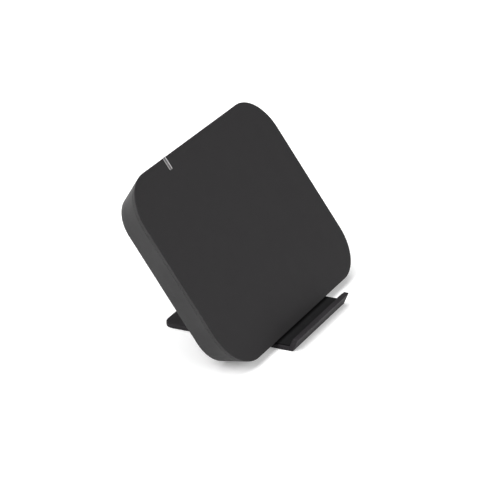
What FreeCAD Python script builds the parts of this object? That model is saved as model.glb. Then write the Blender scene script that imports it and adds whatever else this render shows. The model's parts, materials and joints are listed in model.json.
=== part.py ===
"""Folding charging stand for a phone.

A flat pad holds a wireless charging coil and its electronics. A narrow cast foot with an upturned front
lip is hinged to the pad's lower edge: opened, it carries the leaning pad and the phone's lower edge;
folded, it lies flush in a recess of the pad's back.

Millimetres. +X is to the right, +Y to the back and +Z up. The origin is on the table, under the middle of
the stand.
"""
import FreeCAD, Part
import math
import os
import Sketcher
from FreeCAD import Placement, Rotation, Vector

DIMENSIONS = {
    # pad outline, seen from the front, and its section
    "pad_width": 98.0,
    "pad_height": 71.4,
    "pad_depth": 11.0,
    "pad_corner": 14.9,
    "wall_inset": 4.6,
    "wall_thick": 1.8,
    "floor_thick": 1.5,
    "back_round": 0.8,
    # front panel
    "panel_thick": 1.6,
    "panel_round": 0.2,
    "seam_gap": 0.12,
    "rib_thick": 1.0,
    "rib_depth": 1.1,
    "rib_play": 0.15,
    "post_radius": 2.4,
    "post_height": 4.0,
    "shield_post_radius": 1.8,
    # hinge: its place in the pad, and in the stand when it is open
    "tilt": 55.0,
    "hinge_up": 7.27,
    "hinge_deep": 6.5,
    "hinge_height": 5.0,
    "hinge_y": -10.64,
    "pin_radius": 1.0,
    "pin_play": 0.05,
    "ear_inside": 16.5,
    "ear_outside": 18.5,
    "ear_radius": 2.4,
    "tab_inside": 14.6,
    "tab_outside": 15.8,
    "tab_radius": 2.2,
    # foot casting with its front lip
    "foot_width": 41.4,
    "foot_reach": 33.6,
    "toe_reach": 15.09,
    "foot_gap": 0.1,
    "foot_top": 1.45,
    "foot_corner": 4.0,
    "lip_top": 4.45,
    "lip_lean": 1.9,
    "lip_thick": 1.9,
    "lip_corner": 0.4,
    "lip_round": 0.3,
    "tail_round": 0.3,
    "liner_thick": 0.35,
    # silicone sheet under the foot
    "sole_thick": 0.65,
    "sole_width": 35.8,
    "sole_front": -12.7,
    "sole_back": 30.9,
    # recess for the folded foot, pocket for the hinge
    "recess_width": 42.2,
    "recess_end": 41.8,
    "recess_depth": 1.2,
    "recess_corner": 4.6,
    "pocket_end": 12.8,
    "pocket_floor": 2.8,
    "shelf_wall": 1.2,
    "shelf_start": 4.5,
    "cover_start": 1.8,
    "bracket_thick": 0.8,
    "bracket_width": 32.4,
    "bracket_low": 9.4,
    "bracket_high": 21.8,
    "bracket_play": 0.2,
    "boss_radius": 2.0,
    "boss_height": 2.5,
    # screws and feet on the back
    "screw_x": 35.5,
    "screw_low": 10.8,
    "screw_high": 60.0,
    "head_sink_radius": 2.1,
    "head_sink_depth": 1.9,
    "shank_hole_radius": 1.15,
    "column_radius": 3.2,
    "column_top": 5.75,
    "foot_pad_radius": 4.5,
    "foot_pad_thick": 1.1,
    "foot_pad_sunk": 0.6,
    # charging coil stack, counted down from the panel's inner face
    "coil_up": 36.0,
    "coil_radius": 21.0,
    "coil_hole": 10.0,
    "tape_thick": 0.3,
    "coil_thick": 1.6,
    "ferrite_thick": 0.8,
    "ferrite_side": 43.2,
    "shield_thick": 0.6,
    "shield_width": 52.0,
    "post_x": 24.0,
    # circuit board and what stands on it
    "board_top": 6.6,
    "board_thick": 1.0,
    "standoff_radius": 1.9,
    "socket_up": 30.0,
    "socket_width": 8.94,
    "socket_height": 3.16,
    "socket_mouth": 46.1,
    "socket_length": 7.3,
    "socket_play": 0.12,
    "socket_skin": 0.3,
    # light window
    "light_x": -19.4,
    "light_width": 1.8,
    "light_length": 4.75,
    "light_play": 0.03,
    "light_round": 0.5,
    "led_up": 63.6,
}

# screws: (head radius, head length) and (shank radius, shank length)
HOUSING_SCREW = (1.9, 1.2), (0.88, 6.5)
SHIELD_SCREW = (1.4, 0.7), (0.68, 2.6)
BOARD_SCREW = (1.5, 0.9), (0.73, 2.5)
BRACKET_SCREW = (1.65, 0.7), (0.78, 2.3)
# a pilot hole is this much wider in radius than its screw
PILOT_PLAY = 0.02
# how far a cut runs past the surface that it opens, and how far added material runs into what carries it
BEYOND = 1.0
ROOT = 0.2


class Size:
    """A length together with the spreadsheet formula that gives it."""

    def __init__(self, value, formula):
        self.value = value
        self.formula = formula

    def __add__(self, other):
        other = size(other)
        return Size(self.value + other.value, f"({self.formula} + {other.formula})")

    def __sub__(self, other):
        other = size(other)
        return Size(self.value - other.value, f"({self.formula} - {other.formula})")

    def __mul__(self, other):
        other = size(other)
        return Size(self.value * other.value, f"({self.formula} * {other.formula})")

    def __truediv__(self, other):
        other = size(other)
        return Size(self.value / other.value, f"({self.formula} / {other.formula})")

    def __neg__(self):
        return Size(-self.value, f"(0 - {self.formula})")

    def __radd__(self, other):
        return size(other) + self

    def __rsub__(self, other):
        return size(other) - self


def size(number):
    """Turn a plain number into a Size; a Size stays as it is."""
    if isinstance(number, Size):
        return number
    return Size(float(number), f"({float(number)})")


def dim(name):
    """The driving dimension of that name."""
    return Size(DIMENSIONS[name], f"dims.{name}")


def make_sheet():
    """Write the driving dimensions into the spreadsheet, one alias each."""
    sheet = doc.addObject("Spreadsheet::Sheet", "dims")
    for row, (name, value) in enumerate(DIMENSIONS.items(), start=1):
        sheet.set(f"A{row}", name)
        sheet.set(f"B{row}", str(value))
        sheet.setAlias(f"B{row}", name)
    doc.recompute()


def bind(thing, path, length):
    """Give a property its formula."""
    thing.setExpression(path, size(length).formula)


# Sketches -------------------------------------------------------------------------------------------------

def new_body(label, frame):
    """An empty body in its frame."""
    body = doc.addObject("PartDesign::Body", label)
    body.Label = label
    body.Placement = frame
    nodes.append(body)
    return body


def new_sketch(body, name, role, offset=0):
    """A sketch on one of the body's own origin planes, moved along the plane's normal."""
    sketch = body.newObject("Sketcher::SketchObject", f"{body.Name}_{name}")
    support = next(item for item in body.Origin.OriginFeatures if item.Role == role)
    sketch.AttachmentSupport = [(support, "")]
    sketch.MapMode = "FlatFace"
    bind(sketch, ".AttachmentOffset.Base.z", offset)
    return sketch


def pin_point(sketch, line, end, place):
    """Hold one point of a sketch at its two formulas."""
    for kind, length in zip(("DistanceX", "DistanceY"), place):
        length = size(length)
        index = sketch.addConstraint(Sketcher.Constraint(kind, -1, 1, line, end, length.value))
        bind(sketch, f"Constraints[{index}]", length)


def draw_polygon(sketch, corners):
    """A closed outline of straight lines through the corners."""
    places = [Vector(size(across).value, size(along).value, 0) for across, along in corners]
    lines = []
    for start, end in zip(places, places[1:] + places[:1]):
        lines.append(sketch.addGeometry(Part.LineSegment(start, end)))
    for line, following in zip(lines, lines[1:] + lines[:1]):
        sketch.addConstraint(Sketcher.Constraint("Coincident", line, 2, following, 1))
    for line, corner in zip(lines, corners):
        pin_point(sketch, line, 1, corner)


def draw_rectangle(sketch, left, low, right, high):
    """An upright rectangle with sharp corners."""
    draw_polygon(sketch, [(left, low), (right, low), (right, high), (left, high)])


def draw_rounded(sketch, left, low, right, high, radius):
    """An upright rectangle whose four corners are arcs."""
    left, low, right, high, radius = (size(length) for length in (left, low, right, high, radius))
    x_low, x_high, y_low, y_high = left.value, right.value, low.value, high.value
    turn = radius.value
    normal = Vector(0, 0, 1)
    sides = [
        ((x_low + turn, y_low), (x_high - turn, y_low)),
        ((x_high, y_low + turn), (x_high, y_high - turn)),
        ((x_high - turn, y_high), (x_low + turn, y_high)),
        ((x_low, y_high - turn), (x_low, y_low + turn)),
    ]
    centres = [
        (x_high - turn, y_low + turn),
        (x_high - turn, y_high - turn),
        (x_low + turn, y_high - turn),
        (x_low + turn, y_low + turn),
    ]
    lines = []
    for start, end in sides:
        lines.append(sketch.addGeometry(Part.LineSegment(Vector(*start, 0), Vector(*end, 0))))
    arcs = []
    for quarter, centre in enumerate(centres):
        first = math.radians(90 * quarter - 90)
        circle = Part.Circle(Vector(*centre, 0), normal, turn)
        arcs.append(sketch.addGeometry(Part.ArcOfCircle(circle, first, first + math.pi / 2)))
    for quarter, arc in enumerate(arcs):
        sketch.addConstraint(Sketcher.Constraint("Tangent", lines[quarter], 2, arc, 1))
        sketch.addConstraint(Sketcher.Constraint("Tangent", arc, 2, lines[(quarter + 1) % 4], 1))
    for index, kind in enumerate(("Horizontal", "Vertical", "Horizontal", "Vertical")):
        sketch.addConstraint(Sketcher.Constraint(kind, lines[index]))
    for arc in arcs[1:]:
        sketch.addConstraint(Sketcher.Constraint("Equal", arcs[0], arc))
    held = [
        Sketcher.Constraint("DistanceX", -1, 1, lines[3], 1, x_low),
        Sketcher.Constraint("DistanceX", -1, 1, lines[1], 1, x_high),
        Sketcher.Constraint("DistanceY", -1, 1, lines[0], 1, y_low),
        Sketcher.Constraint("DistanceY", -1, 1, lines[2], 1, y_high),
        Sketcher.Constraint("Radius", arcs[0], turn),
    ]
    for constraint, length in zip(held, (left, right, low, high, radius)):
        index = sketch.addConstraint(constraint)
        bind(sketch, f"Constraints[{index}]", length)


def draw_circle(sketch, across, along, radius):
    """A full circle."""
    across, along, radius = size(across), size(along), size(radius)
    centre = Vector(across.value, along.value, 0)
    circle = sketch.addGeometry(Part.Circle(centre, Vector(0, 0, 1), radius.value))
    pin_point(sketch, circle, 3, (across, along))
    index = sketch.addConstraint(Sketcher.Constraint("Radius", circle, radius.value))
    bind(sketch, f"Constraints[{index}]", radius)


# Features -------------------------------------------------------------------------------------------------

def extrude(body, sketch, kind, length, forward=True, both_ways=False, taper=None):
    """Pad or pocket a sketch, forward or back along its normal, and check that a pocket really cuts."""
    doc.recompute()
    before = 0 if body.Shape.isNull() else body.Shape.Volume
    feature = body.newObject(f"PartDesign::{kind}", f"{sketch.Name}_{kind}")
    feature.Profile = sketch
    feature.Reversed = forward if kind == "Pocket" else not forward
    feature.SideType = "Symmetric" if both_ways else "One side"
    bind(feature, "Length", length)
    if taper:
        feature.setExpression("TaperAngle", taper)
    doc.recompute()
    if kind == "Pocket" and not body.Shape.Volume < before - 0.01:
        raise RuntimeError(f"{feature.Name} cuts nothing")
    return feature


def pad(body, sketch, length, **options):
    """Add the extruded sketch."""
    return extrude(body, sketch, "Pad", length, **options)


def pocket(body, sketch, length, **options):
    """Cut away the extruded sketch."""
    return extrude(body, sketch, "Pocket", length, **options)


def revolve(body, sketch, axis):
    """Turn a half section a full circle about one of the sketch's axes."""
    feature = body.newObject("PartDesign::Revolution", f"{sketch.Name}_Revolution")
    feature.Profile = sketch
    feature.ReferenceAxis = (sketch, [axis])
    feature.Angle = 360.0
    doc.recompute()
    return feature


def round_edges(body, name, radius, wanted):
    """Fillet the body's edges that pass the test."""
    edges = [f"Edge{index}" for index, edge in enumerate(body.Tip.Shape.Edges, start=1) if wanted(edge)]
    if not edges:
        raise RuntimeError(f"{body.Label}: no edge to round for {name}")
    base = body.Tip
    feature = body.newObject("PartDesign::Fillet", f"{body.Name}_{name}")
    feature.Base = (base, edges)
    bind(feature, "Radius", radius)
    doc.recompute()
    return feature


def at_height(level):
    """A test for edges that lie wholly at one height."""
    return lambda edge: abs(edge.BoundBox.ZMin - level) < 0.01 and abs(edge.BoundBox.ZMax - level) < 0.01


def upright_at(places):
    """A test for straight edges along Z that stand at one of the places."""
    def wanted(edge):
        limits = edge.BoundBox
        if limits.XLength > 0.01 or limits.YLength > 0.01:
            return False
        foot = Vector(limits.XMin, limits.YMin, 0)
        return any(foot.distanceToPoint(Vector(across, along, 0)) < 0.01 for across, along in places)
    return wanted


# Simple solids and groups of them -------------------------------------------------------------------------

def box(name, low, high):
    """A block between two corners."""
    block = doc.addObject("Part::Box", name)
    for side, start, end in zip(("Length", "Width", "Height"), low, high):
        bind(block, side, size(end) - start)
    for axis, start in zip("xyz", low):
        bind(block, f".Placement.Base.{axis}", start)
    return block


def bar(name, radius, height):
    """A round bar standing on the origin."""
    made = doc.addObject("Part::Cylinder", name)
    bind(made, "Radius", radius)
    bind(made, "Height", height)
    return made


def cylinder(name, radius, height, place=(0, 0, 0)):
    """A round bar standing on its place."""
    made = bar(name, radius, height)
    for axis, start in zip("xyz", place):
        bind(made, f".Placement.Base.{axis}", start)
    return made


def cone(name, wide, narrow, height, place=(0, 0, 0)):
    """A round bar that narrows as it rises."""
    made = doc.addObject("Part::Cone", name)
    bind(made, "Radius1", wide)
    bind(made, "Radius2", narrow)
    bind(made, "Height", height)
    for axis, start in zip("xyz", place):
        bind(made, f".Placement.Base.{axis}", start)
    return made


def fuse(name, shapes):
    """Join solids that touch or overlap."""
    joined = doc.addObject("Part::MultiFuse", name)
    joined.Shapes = shapes
    return joined


def cut(name, base, tool):
    """Take the tool away from the base."""
    made = doc.addObject("Part::Cut", name)
    made.Base = base
    made.Tool = tool
    return made


def group(label, frame, members):
    """One node made of separate solids, or of one simple solid."""
    made = doc.addObject("Part::Compound", label)
    made.Label = label
    made.Links = members
    made.Placement = frame
    nodes.append(made)
    return made


def screw(name, place, head, shank, countersunk=False, flipped=False):
    """A cross-head screw that points along +Z from its place, or along -Z when it is flipped.

    head and shank are each (radius, length); the place is where the head meets what it clamps.
    """
    head_radius, head_length = head
    shank_radius, shank_length = shank
    if countersunk:
        cap = cone(f"{name}_head", head_radius, shank_radius, head_length, (0, 0, -head_length))
    else:
        cap = cylinder(f"{name}_head", head_radius, head_length, (0, 0, -head_length))
    shank_bar = cylinder(f"{name}_shank", shank_radius, shank_length)
    arm = head_radius * 0.55
    half = head_radius * 0.12
    drive_end = -head_length * 0.45
    slots = [
        box(f"{name}_slot_a", (-arm, -half, -head_length - 0.1), (arm, half, drive_end)),
        box(f"{name}_slot_b", (-half, -arm, -head_length - 0.1), (half, arm, drive_end)),
    ]
    made = cut(name, fuse(f"{name}_body", [cap, shank_bar]), fuse(f"{name}_drive", slots))
    turn = Rotation(Vector(1, 0, 0), 180) if flipped else Rotation()
    made.Placement = Placement(Vector(*(size(length).value for length in place)), turn)
    return made


# Shared geometry of the pad -------------------------------------------------------------------------------
# In the pad's frame x runs to the right, y up the slope and z out of the front face, so depths are negative
# heights.

TAPER_IN = "0 deg - atan(dims.wall_inset / dims.pad_depth)"


def wall_inset_at(depth):
    """How far the sloping wall has come in at a depth behind the front face."""
    return dim("wall_inset") / dim("pad_depth") * depth


def draw_pad_outline(sketch, depth, inside=0):
    """The pad's rounded outline at a depth, moved inside its outer wall."""
    inset = wall_inset_at(size(depth)) + inside
    half = dim("pad_width") / 2 - inset
    draw_rounded(sketch, -half, inset, half, dim("pad_height") - inset, dim("pad_corner") - inset)


def corner_screw_places():
    """Centres of the four screws that close the pad, seen from the front."""
    across = dim("screw_x")
    return [(side, up) for side in (-across, across) for up in (dim("screw_low"), dim("screw_high"))]


def shield_post_places():
    """Centres of the four posts that carry the coil's shield plate."""
    across = dim("post_x")
    reach = dim("ferrite_side") / 2 - 3.6
    return [(side, dim("coil_up") + step) for side in (-across, across) for step in (-reach, reach)]


def board_screw_places():
    """Centres of the circuit board's three screws."""
    return [(31.0, 18.6), (38.4, 52.8), (-22.8, 62.5)]


def bracket_screw_places():
    """Centres of the hinge bracket's three screws."""
    return [(-10.5, 18.2), (0.0, 18.2), (10.5, 18.2)]


def pilot_radius(kind):
    """Radius of the hole that one kind of screw cuts its thread into."""
    return kind[1][0] + PILOT_PLAY


# Pad: shells ----------------------------------------------------------------------------------------------

def make_face_panel():
    """Front panel: the charging face, with screw posts, a locating rib and the light window's slot."""
    body = new_body("face_panel", pad_frame)
    outline = new_sketch(body, "outline", "XY_Plane")
    draw_pad_outline(outline, 0)
    pad(body, outline, dim("panel_thick"), forward=False, taper=TAPER_IN)
    round_edges(body, "front_edge", dim("panel_round"), at_height(0))

    inner_face = -dim("panel_thick")
    rib = new_sketch(body, "rib", "XY_Plane", inner_face)
    rib_inset = dim("wall_thick") + wall_inset_at(dim("rib_depth")) + dim("rib_play")
    draw_pad_outline(rib, dim("panel_thick"), rib_inset)
    draw_pad_outline(rib, dim("panel_thick"), rib_inset + dim("rib_thick"))
    pad(body, rib, dim("rib_depth"), forward=False)
    gap = new_sketch(body, "rib_gap", "XY_Plane", inner_face)
    clear = dim("rib_play") * 2
    half_gap = dim("recess_width") / 2 + dim("shelf_wall") + clear
    draw_rectangle(gap, -half_gap, -BEYOND, half_gap, dim("pocket_end") + dim("shelf_wall") + clear)
    pocket(body, gap, dim("rib_depth") + 0.1, forward=False)
    light_gap = new_sketch(body, "light_gap", "XY_Plane", inner_face)
    half = dim("light_width") / 2 + 0.8
    low, high = dim("screw_high"), dim("pad_height")
    draw_rectangle(light_gap, dim("light_x") - half, low, dim("light_x") + half, high)
    pocket(body, light_gap, dim("rib_depth") + 0.1, forward=False)

    posts = new_sketch(body, "posts", "XY_Plane", inner_face)
    for across, up in corner_screw_places():
        draw_circle(posts, across, up, dim("post_radius"))
    pad(body, posts, dim("post_height"), forward=False)
    pilots = new_sketch(body, "pilots", "XY_Plane", inner_face - dim("post_height"))
    for across, up in corner_screw_places():
        draw_circle(pilots, across, up, pilot_radius(HOUSING_SCREW))
    pocket(body, pilots, dim("post_height") - 0.2)

    shield_posts = new_sketch(body, "shield_posts", "XY_Plane", inner_face)
    stack = dim("tape_thick") + dim("coil_thick") + dim("ferrite_thick")
    for across, up in shield_post_places():
        draw_circle(shield_posts, across, up, dim("shield_post_radius"))
    pad(body, shield_posts, stack, forward=False)
    shield_pilots = new_sketch(body, "shield_pilots", "XY_Plane", inner_face - stack)
    for across, up in shield_post_places():
        draw_circle(shield_pilots, across, up, pilot_radius(SHIELD_SCREW))
    pocket(body, shield_pilots, stack)

    window = new_sketch(body, "window", "XY_Plane")
    left = dim("light_x") - dim("light_width") / 2 - dim("light_play")
    right = dim("light_x") + dim("light_width") / 2 + dim("light_play")
    low = dim("pad_height") - dim("light_length") - dim("light_play")
    draw_rectangle(window, left, low, right, dim("pad_height") + BEYOND)
    pocket(body, window, dim("panel_thick"), forward=False)
    ends = upright_at([(left.value, low.value), (right.value, low.value)])
    round_edges(body, "window_end", dim("light_round") + dim("light_play"), ends)


def make_rear_housing():
    """Rear shell: a tub with sloping walls, a recess for the folded foot and a pocket for the hinge."""
    body = new_body("rear_housing", pad_frame)
    outline = new_sketch(body, "outline", "XY_Plane")
    draw_pad_outline(outline, 0)
    pad(body, outline, dim("pad_depth"), forward=False, taper=TAPER_IN)
    round_edges(body, "back_edge", dim("back_round"), at_height(-DIMENSIONS["pad_depth"]))

    rim = dim("panel_thick") + dim("seam_gap")
    inner_floor = dim("pad_depth") - dim("floor_thick")
    trim = new_sketch(body, "trim", "XY_Plane", -rim)
    reach = dim("pad_width")
    draw_rectangle(trim, -reach, -reach, reach, reach)
    pocket(body, trim, rim + BEYOND)
    cavity = new_sketch(body, "cavity", "XY_Plane", -rim)
    draw_pad_outline(cavity, rim, dim("wall_thick"))
    pocket(body, cavity, inner_floor - rim, forward=False, taper=TAPER_IN)

    half_recess = dim("recess_width") / 2
    half_shelf = half_recess + dim("shelf_wall")
    floor_root = -inner_floor - ROOT
    recess_top = dim("pad_depth") - dim("recess_depth")
    bracket_seat = recess_top - dim("bracket_thick")
    steps = [
        ("shelf", dim("recess_end") + dim("shelf_wall"), recess_top - dim("shelf_wall")),
        ("bracket_shelf", dim("bracket_high") + 1.5, bracket_seat - 1.5),
        ("hinge_box", dim("pocket_end") + dim("shelf_wall"), rim),
    ]
    for name, end, top in steps:
        block = new_sketch(body, name, "XY_Plane", floor_root)
        draw_rectangle(block, -half_shelf, dim("shelf_start"), half_shelf, end)
        pad(body, block, -floor_root - top)
    cover = new_sketch(body, "hinge_cover", "XY_Plane", -dim("pocket_floor"))
    draw_rectangle(cover, -half_shelf, dim("cover_start"), half_shelf, dim("pocket_end"))
    pad(body, cover, dim("pocket_floor") - rim)
    bosses = new_sketch(body, "bracket_bosses", "XY_Plane", -bracket_seat)
    for across, up in bracket_screw_places():
        draw_circle(bosses, across, up, dim("boss_radius"))
    pad(body, bosses, dim("boss_height"))

    below = dim("recess_corner") * -2
    recess = new_sketch(body, "recess", "XY_Plane", -dim("pad_depth"))
    draw_rounded(recess, -half_recess, below, half_recess, dim("recess_end"), dim("recess_corner"))
    pocket(body, recess, dim("recess_depth"))
    seat = new_sketch(body, "bracket_seat", "XY_Plane", -dim("pad_depth"))
    half_seat = dim("bracket_width") / 2 + dim("bracket_play")
    draw_rectangle(seat, -half_seat, below, half_seat, dim("bracket_high") + dim("bracket_play"))
    pocket(body, seat, dim("pad_depth") - bracket_seat)
    hinge_pocket = new_sketch(body, "hinge_pocket", "XY_Plane", -dim("pad_depth") - BEYOND)
    draw_rectangle(hinge_pocket, -half_recess, below, half_recess, dim("pocket_end"))
    pocket(body, hinge_pocket, dim("pad_depth") + BEYOND - dim("pocket_floor"))
    threads = new_sketch(body, "bracket_threads", "XY_Plane", -bracket_seat)
    for across, up in bracket_screw_places():
        draw_circle(threads, across, up, pilot_radius(BRACKET_SCREW))
    pocket(body, threads, dim("boss_height") + 0.1)

    columns = new_sketch(body, "screw_columns", "XY_Plane", floor_root)
    for across, up in corner_screw_places():
        draw_circle(columns, across, up, dim("column_radius"))
    pad(body, columns, -floor_root - dim("column_top"))
    sinks = [
        ("foot_sink", dim("foot_pad_radius") + 0.1, dim("foot_pad_sunk")),
        ("head_sink", dim("head_sink_radius"), dim("head_sink_depth")),
        ("shank_hole", dim("shank_hole_radius"), dim("pad_depth") - dim("column_top") + 0.05),
    ]
    for name, radius, depth in sinks:
        hole = new_sketch(body, name, "XY_Plane", -dim("pad_depth"))
        for across, up in corner_screw_places():
            draw_circle(hole, across, up, radius)
        pocket(body, hole, depth)

    board_bottom = dim("board_top") + dim("board_thick")
    standoffs = new_sketch(body, "standoffs", "XY_Plane", floor_root)
    for across, up in board_screw_places():
        draw_circle(standoffs, across, up, dim("standoff_radius"))
    pad(body, standoffs, -floor_root - board_bottom)
    board_threads = new_sketch(body, "board_threads", "XY_Plane", -board_bottom)
    for across, up in board_screw_places():
        draw_circle(board_threads, across, up, pilot_radius(BOARD_SCREW))
    pocket(body, board_threads, 1.6, forward=False)

    mouth = new_sketch(body, "socket_mouth", "YZ_Plane", dim("pad_width") / 2 - 6)
    half_wide = dim("socket_width") / 2 + dim("socket_play")
    half_high = dim("socket_height") / 2 + dim("socket_play")
    centre = -dim("board_top") + dim("socket_height") / 2
    up = dim("socket_up")
    draw_rounded(mouth, up - half_wide, centre - half_high, up + half_wide, centre + half_high, 1.6)
    pocket(body, mouth, 10)


def make_light_pipe():
    """Clear window in the front panel's top edge, with a stem that reaches down to the status light."""
    body = new_body("light_pipe", pad_frame)
    side = new_sketch(body, "side", "YZ_Plane", dim("light_x"))
    top = dim("pad_height")
    low = top - dim("light_length")
    under = dim("panel_thick")
    flange = under + 0.8
    flange_low = low + 0.75
    stem_low = dim("led_up") - 0.9
    stem_high = dim("led_up") + 0.9
    stem_end = 5.8
    draw_polygon(side, [
        (low, 0),
        (top, 0),
        (top - wall_inset_at(under), -under),
        (flange_low, -under),
        (flange_low, -flange),
        (stem_high, -flange),
        (stem_high, -stem_end),
        (stem_low, -stem_end),
        (stem_low, -under),
        (low, -under),
    ])
    pad(body, side, dim("light_width"), both_ways=True)
    left = dim("light_x") - dim("light_width") / 2
    right = dim("light_x") + dim("light_width") / 2
    ends = upright_at([(left.value, low.value), (right.value, low.value)])
    round_edges(body, "end", dim("light_round"), ends)


def make_back_feet():
    """Four round rubber feet that hide the screws and carry the folded pad."""
    sunk = dim("pad_depth") - dim("foot_pad_sunk")
    members = []
    for index, (across, up) in enumerate(corner_screw_places()):
        disc = cylinder(f"back_foot_{index}", dim("foot_pad_radius"), dim("foot_pad_thick"),
                        (across, up, -sunk - dim("foot_pad_thick")))
        doc.recompute()
        foot = doc.addObject("Part::Fillet", f"back_foot_round_{index}")
        foot.Base = disc
        rim = next(number for number, edge in enumerate(disc.Shape.Edges, start=1)
                   if at_height(disc.Shape.BoundBox.ZMin)(edge))
        foot.Edges = [(rim, 0.3, 0.3)]
        members.append(foot)
    group("back_feet", pad_frame, members)


# Pad: fasteners -------------------------------------------------------------------------------------------

def make_housing_screws():
    """Screws that hold the rear housing to the front panel's posts."""
    members = []
    for index, (across, up) in enumerate(corner_screw_places()):
        place = (across, up, dim("head_sink_depth") - dim("pad_depth"))
        members.append(screw(f"housing_screw_{index}", place, *HOUSING_SCREW))
    group("housing_screws", pad_frame, members)


def make_shield_screws():
    """Small screws that hold the shield plate and the coil stack to the front panel."""
    stack = dim("panel_thick") + dim("tape_thick") + dim("coil_thick") + dim("ferrite_thick")
    members = []
    for index, (across, up) in enumerate(shield_post_places()):
        place = (across, up, -stack - dim("shield_thick"))
        members.append(screw(f"shield_screw_{index}", place, *SHIELD_SCREW))
    group("shield_screws", pad_frame, members)


def make_board_screws():
    """Screws that hold the circuit board to the housing."""
    members = []
    for index, (across, up) in enumerate(board_screw_places()):
        place = (across, up, -dim("board_top"))
        members.append(screw(f"board_screw_{index}", place, *BOARD_SCREW, flipped=True))
    group("board_screws", pad_frame, members)


def make_bracket_screws():
    """Countersunk screws that hold the hinge bracket in the housing."""
    seat = dim("pad_depth") - dim("recess_depth")
    members = []
    for index, (across, up) in enumerate(bracket_screw_places()):
        place = (across, up, -seat + 0.75)
        members.append(screw(f"bracket_screw_{index}", place, *BRACKET_SCREW, countersunk=True))
    group("bracket_screws", pad_frame, members)


# Pad: charging coil and electronics -----------------------------------------------------------------------

def make_ring(label, outer, inner, thick, depth):
    """A flat ring about the coil's centre, its upper face at a depth behind the front."""
    body = new_body(label, pad_frame)
    face = new_sketch(body, "face", "XY_Plane", -depth)
    draw_circle(face, 0, dim("coil_up"), outer)
    draw_circle(face, 0, dim("coil_up"), inner)
    pad(body, face, thick, forward=False)


def make_coil_stack():
    """Adhesive ring, coil, ferrite sheet and shield plate, one behind the other."""
    depth = dim("panel_thick")
    make_ring("coil_adhesive", dim("coil_radius") - 1, dim("coil_hole") + 1, dim("tape_thick"), depth)
    depth = depth + dim("tape_thick")
    make_ring("charging_coil", dim("coil_radius"), dim("coil_hole"), dim("coil_thick"), depth)
    depth = depth + dim("coil_thick")
    half = dim("ferrite_side") / 2
    low = dim("coil_up") - half
    high = dim("coil_up") + half
    sheet = box("ferrite_block", (-half, low, -depth - dim("ferrite_thick")), (half, high, -depth))
    group("ferrite_sheet", pad_frame, [sheet])

    depth = depth + dim("ferrite_thick")
    body = new_body("shield_plate", pad_frame)
    face = new_sketch(body, "face", "XY_Plane", -depth)
    half_wide = dim("shield_width") / 2
    draw_rounded(face, -half_wide, low, half_wide, high, 1.5)
    for across, up in shield_post_places():
        draw_circle(face, across, up, 0.8)
    pad(body, face, dim("shield_thick"), forward=False)
    notch = new_sketch(body, "lead_notch", "XY_Plane", -depth)
    draw_rectangle(notch, half + 0.2, dim("coil_up") - 4, half_wide + 1, dim("coil_up") + 4)
    pocket(body, notch, dim("shield_thick"), forward=False)


def make_coil_leads():
    """Two short leads from the coil's rim down to the board."""
    wire_radius = 0.45
    start = Vector(DIMENSIONS["coil_radius"] + 0.25, 0, -2.75)
    end = Vector(29.2, 0, -6.05)
    run = end - start
    members = []
    for index, step in enumerate((-1.6, 1.6)):
        lead = bar(f"coil_lead_{index}", wire_radius, run.Length)
        place = Vector(start.x, DIMENSIONS["coil_up"] + step, start.z)
        lead.Placement = Placement(place, Rotation(Vector(0, 0, 1), run))
        members.append(lead)
    group("coil_leads", pad_frame, members)


def make_circuit_board():
    """L-shaped board: a column beside the coil for power, and a strip above it for the light."""
    body = new_body("circuit_board", pad_frame)
    face = new_sketch(body, "face", "XY_Plane", -dim("board_top"))
    left, inner, step, right = -26.0, 27.5, 31.8, 43.4
    low, shoulder, strip_low, high = 15.0, 56.5, 59.3, 65.4
    draw_polygon(face, [
        (inner, low),
        (right, low),
        (right, shoulder),
        (step, shoulder),
        (step, high),
        (left, high),
        (left, strip_low),
        (inner, strip_low),
    ])
    for across, up in board_screw_places():
        draw_circle(face, across, up, 0.85)
    pad(body, face, dim("board_thick"), forward=False)


def chip(name, across, up, wide, long, tall):
    """A flat component that stands on the board."""
    low = (across - wide / 2, up - long / 2, -dim("board_top"))
    return box(name, low, (across + wide / 2, up + long / 2, tall - dim("board_top")))


def make_board_parts():
    """The components that the charger needs, as blocks of their real package sizes."""
    group("control_chip", pad_frame, [chip("control_block", 37.2, 43.5, 5.0, 5.0, 0.85)])
    transistors = [chip(f"transistor_{index}", 31.0, up, 3.3, 3.3, 0.9)
                   for index, up in enumerate((42.6, 46.8, 51.0, 55.2))]
    group("power_transistors", pad_frame, transistors)
    capacitors = [chip(f"capacitor_{index}", across, 62.3, 3.2, 1.6, 1.4)
                  for index, across in enumerate((4.0, 9.0, 14.0, 19.0))]
    group("resonant_capacitors", pad_frame, capacitors)
    group("filter_inductor", pad_frame, [chip("inductor_block", 31.6, 26.4, 6.0, 6.0, 2.8)])
    light = chip("light_block", dim("light_x"), dim("led_up"), 1.6, 0.8, 0.6)
    group("status_led", pad_frame, [light])


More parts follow.
